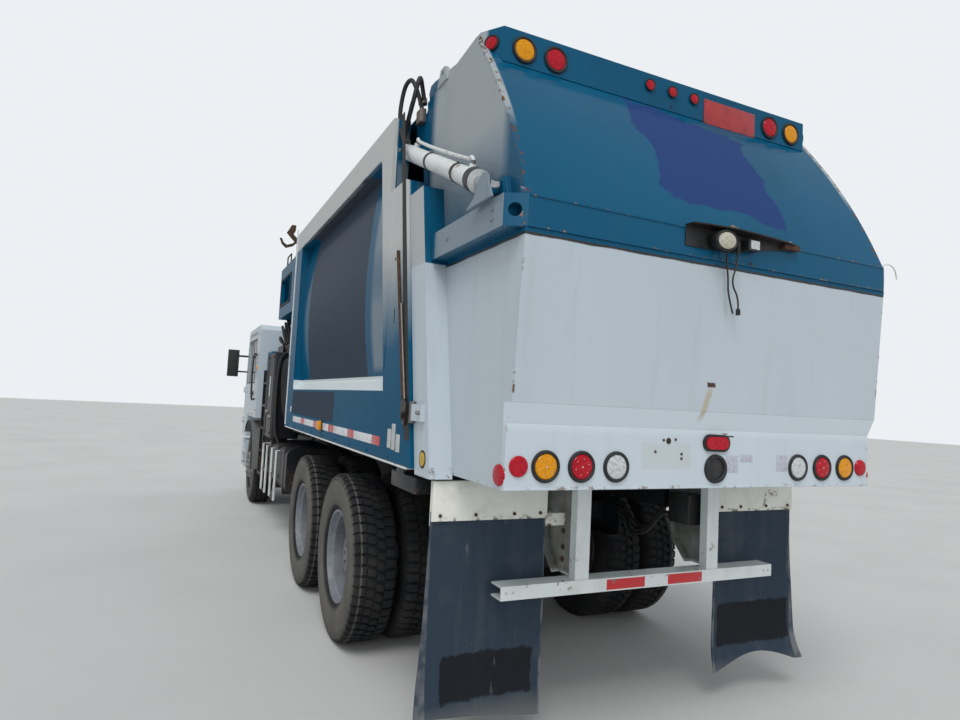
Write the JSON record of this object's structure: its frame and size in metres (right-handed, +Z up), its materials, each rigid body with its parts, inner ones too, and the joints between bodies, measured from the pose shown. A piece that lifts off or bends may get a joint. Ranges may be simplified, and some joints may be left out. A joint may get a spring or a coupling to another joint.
{
  "type": "side-loading garbage truck",
  "caption": "Side-loading garbage truck on a low cab-over chassis, with a packing body, a lifting tailgate and a bin lift arm on the right side.",
  "frame": {"origin": "on the ground under the middle of the length, on the middle plane", "axes": "+X forward, +Y to the left, +Z up"},
  "size_m": [9.34, 3.04, 3.391],
  "materials": {
    "chassis_black": "satin",
    "bare_steel": "satin",
    "cast_iron": "matte",
    "teal_paint": "gloss",
    "white_paint": "gloss",
    "clear_lens": "gloss",
    "grey_plastic": "matte",
    "worn_steel": "matte",
    "flap_rubber": "matte",
    "red_lens": "gloss",
    "wire_jacket": "matte",
    "glass": "gloss",
    "pale_paint": "satin",
    "chrome": "gloss",
    "tyre": "matte",
    "rim_paint": "satin"
  },
  "bodies": {
    "chassis": {"frame_rails": "chassis_black", "axle_beams": "chassis_black", "springs": "chassis_black", "driveshaft": "bare_steel", "engine_block": "cast_iron", "side_tanks": "chassis_black", "hydraulic_tank": "teal_paint", "access_ladder": "chassis_black", "exhaust_stack": "bare_steel", "front_bumper": "white_paint", "front_lamps": "clear_lens", "front_fenders": "grey_plastic", "body_floor": "teal_paint", "body_frame": "teal_paint", "body_panels": "teal_paint", "body_roof": "teal_paint", "hopper": "teal_paint", "service_tank": "chassis_black", "flap_hangers": "white_paint", "mud_flaps": "flap_rubber", "underride_bumper": "white_paint", "arm_rails": "chassis_black"},
    "packer": {"packer_blade": "worn_steel"},
    "tailgate": {"tail_shell": "teal_paint", "tail_lower": "white_paint", "tail_frame": "teal_paint", "light_bar": "teal_paint", "tail_lamps": "red_lens", "work_lamp": "chassis_black", "lamp_wire_plugged": "wire_jacket", "lamp_wire_bare": "wire_jacket", "wire_plug": "wire_jacket"},
    "cab": {"cab_shell": "white_paint", "cab_glass": "glass", "cab_interior": "grey_plastic", "mirrors": "chassis_black"},
    "arm_carriage": {"arm_carriage": "chassis_black"},
    "lift_boom": {"lift_boom": "chassis_black"},
    "finger_front": {"grip_finger_front": "chassis_black"},
    "finger_rear": {"grip_finger_rear": "chassis_black"},
    "barrel_left": {"cylinder_barrel_left": "pale_paint"},
    "rod_left": {"cylinder_rod_left": "chrome"},
    "door_left": {"door_left": "white_paint"},
    "knuckle_left": {"knuckle_left": "chassis_black"},
    "steer_wheel_left": {"steer_tyre_left": "tyre", "steer_rim_left": "rim_paint"},
    "rear_wheels_left": {"rear_tyres_left": "tyre", "rear_rims_left": "rim_paint"},
    "mid_wheels_left": {"mid_tyres_left": "tyre", "mid_rims_left": "rim_paint"},
    "barrel_right": {"cylinder_barrel_right": "pale_paint"},
    "rod_right": {"cylinder_rod_right": "chrome"},
    "door_right": {"door_right": "white_paint"},
    "knuckle_right": {"knuckle_right": "chassis_black"},
    "steer_wheel_right": {"steer_tyre_right": "tyre", "steer_rim_right": "rim_paint"},
    "rear_wheels_right": {"rear_tyres_right": "tyre", "rear_rims_right": "rim_paint"},
    "mid_wheels_right": {"mid_tyres_right": "tyre", "mid_rims_right": "rim_paint"}
  },
  "joints": [
    {"name": "tailgate_hinge", "type": "hinge", "parent": "chassis", "child": "tailgate", "pos_m": [-3.355, 0, 3.345], "axis": [0, 1, 0], "range_deg": [0, 75]},
    {"name": "packer_slide", "type": "slide", "parent": "chassis", "child": "packer", "axis": [-1, 0, 0], "range_m": [0, 1.35]},
    {"name": "cab_tilt", "type": "hinge", "parent": "chassis", "child": "cab", "pos_m": [4.44, 0, 0.98], "axis": [0, 1, 0], "range_deg": [0, 45]},
    {"name": "arm_reach", "type": "slide", "parent": "chassis", "child": "arm_carriage", "axis": [0, -1, 0], "range_m": [0, 1.1]},
    {"name": "arm_lift", "type": "hinge", "parent": "arm_carriage", "child": "lift_boom", "pos_m": [1.35, -1.168, 1.65], "axis": [-1, 0, 0], "range_deg": [0, 165]},
    {"name": "finger_front_hinge", "type": "hinge", "parent": "lift_boom", "child": "finger_front", "pos_m": [1.51, -1.168, 0.75], "axis": [0, 0, -1], "range_deg": [0, 75]},
    {"name": "finger_rear_hinge", "type": "hinge", "parent": "lift_boom", "child": "finger_rear", "pos_m": [1.19, -1.168, 0.75], "axis": [0, 0, 1], "range_deg": [0, 75]},
    {"name": "barrel_hinge_left", "type": "hinge", "parent": "chassis", "child": "barrel_left", "pos_m": [-3.25, 1.155, 3.015], "axis": [0, 1, 0], "range_deg": [0, 69.5]},
    {"name": "rod_slide_left", "type": "slide", "parent": "barrel_left", "child": "rod_left", "axis": [-0.9063, 0, -0.4227], "range_m": [0, 0.3758]},
    {"name": "door_hinge_left", "type": "hinge", "parent": "cab", "child": "door_left", "pos_m": [4.405, 1.235, 1.7], "axis": [0, 0, -1], "range_deg": [0, 70]},
    {"name": "steer_left", "type": "hinge", "parent": "chassis", "child": "knuckle_left", "pos_m": [3.31, 0.855, 0.54], "axis": [0, 0, 1], "range_deg": [-35, 35]},
    {"name": "steer_wheel_spin_left", "type": "hinge", "parent": "knuckle_left", "child": "steer_wheel_left", "pos_m": [3.31, 1.045, 0.54], "axis": [0, 1, 0], "continuous": true},
    {"name": "rear_wheels_spin_left", "type": "hinge", "parent": "chassis", "child": "rear_wheels_left", "pos_m": [-2.385, 0.9275, 0.54], "axis": [0, 1, 0], "continuous": true},
    {"name": "mid_wheels_spin_left", "type": "hinge", "parent": "chassis", "child": "mid_wheels_left", "pos_m": [-1.075, 0.9275, 0.54], "axis": [0, 1, 0], "continuous": true},
    {"name": "barrel_hinge_right", "type": "hinge", "parent": "chassis", "child": "barrel_right", "pos_m": [-3.25, -1.155, 3.015], "axis": [0, 1, 0], "range_deg": [0, 69.5]},
    {"name": "rod_slide_right", "type": "slide", "parent": "barrel_right", "child": "rod_right", "axis": [-0.9063, 0, -0.4227], "range_m": [0, 0.3758]},
    {"name": "door_hinge_right", "type": "hinge", "parent": "cab", "child": "door_right", "pos_m": [4.405, -1.235, 1.7], "axis": [0, 0, 1], "range_deg": [0, 70]},
    {"name": "steer_right", "type": "hinge", "parent": "chassis", "child": "knuckle_right", "pos_m": [3.31, -0.855, 0.54], "axis": [0, 0, 1], "range_deg": [-35, 35]},
    {"name": "steer_wheel_spin_right", "type": "hinge", "parent": "knuckle_right", "child": "steer_wheel_right", "pos_m": [3.31, -1.045, 0.54], "axis": [0, 1, 0], "continuous": true},
    {"name": "rear_wheels_spin_right", "type": "hinge", "parent": "chassis", "child": "rear_wheels_right", "pos_m": [-2.385, -0.9275, 0.54], "axis": [0, 1, 0], "continuous": true},
    {"name": "mid_wheels_spin_right", "type": "hinge", "parent": "chassis", "child": "mid_wheels_right", "pos_m": [-1.075, -0.9275, 0.54], "axis": [0, 1, 0], "continuous": true}
  ],
  "couplings": [
    {"joint": "finger_rear_hinge", "follows": "finger_front_hinge", "ratio": 1},
    {"joint": "barrel_hinge_left", "follows": "tailgate_hinge", "ratio": 0.92},
    {"joint": "rod_slide_left", "follows": "tailgate_hinge", "m_per_rad": 0.284},
    {"joint": "barrel_hinge_right", "follows": "tailgate_hinge", "ratio": 0.92},
    {"joint": "rod_slide_right", "follows": "tailgate_hinge", "m_per_rad": 0.284},
    {"joint": "steer_right", "follows": "steer_left", "ratio": 1}
  ]
}
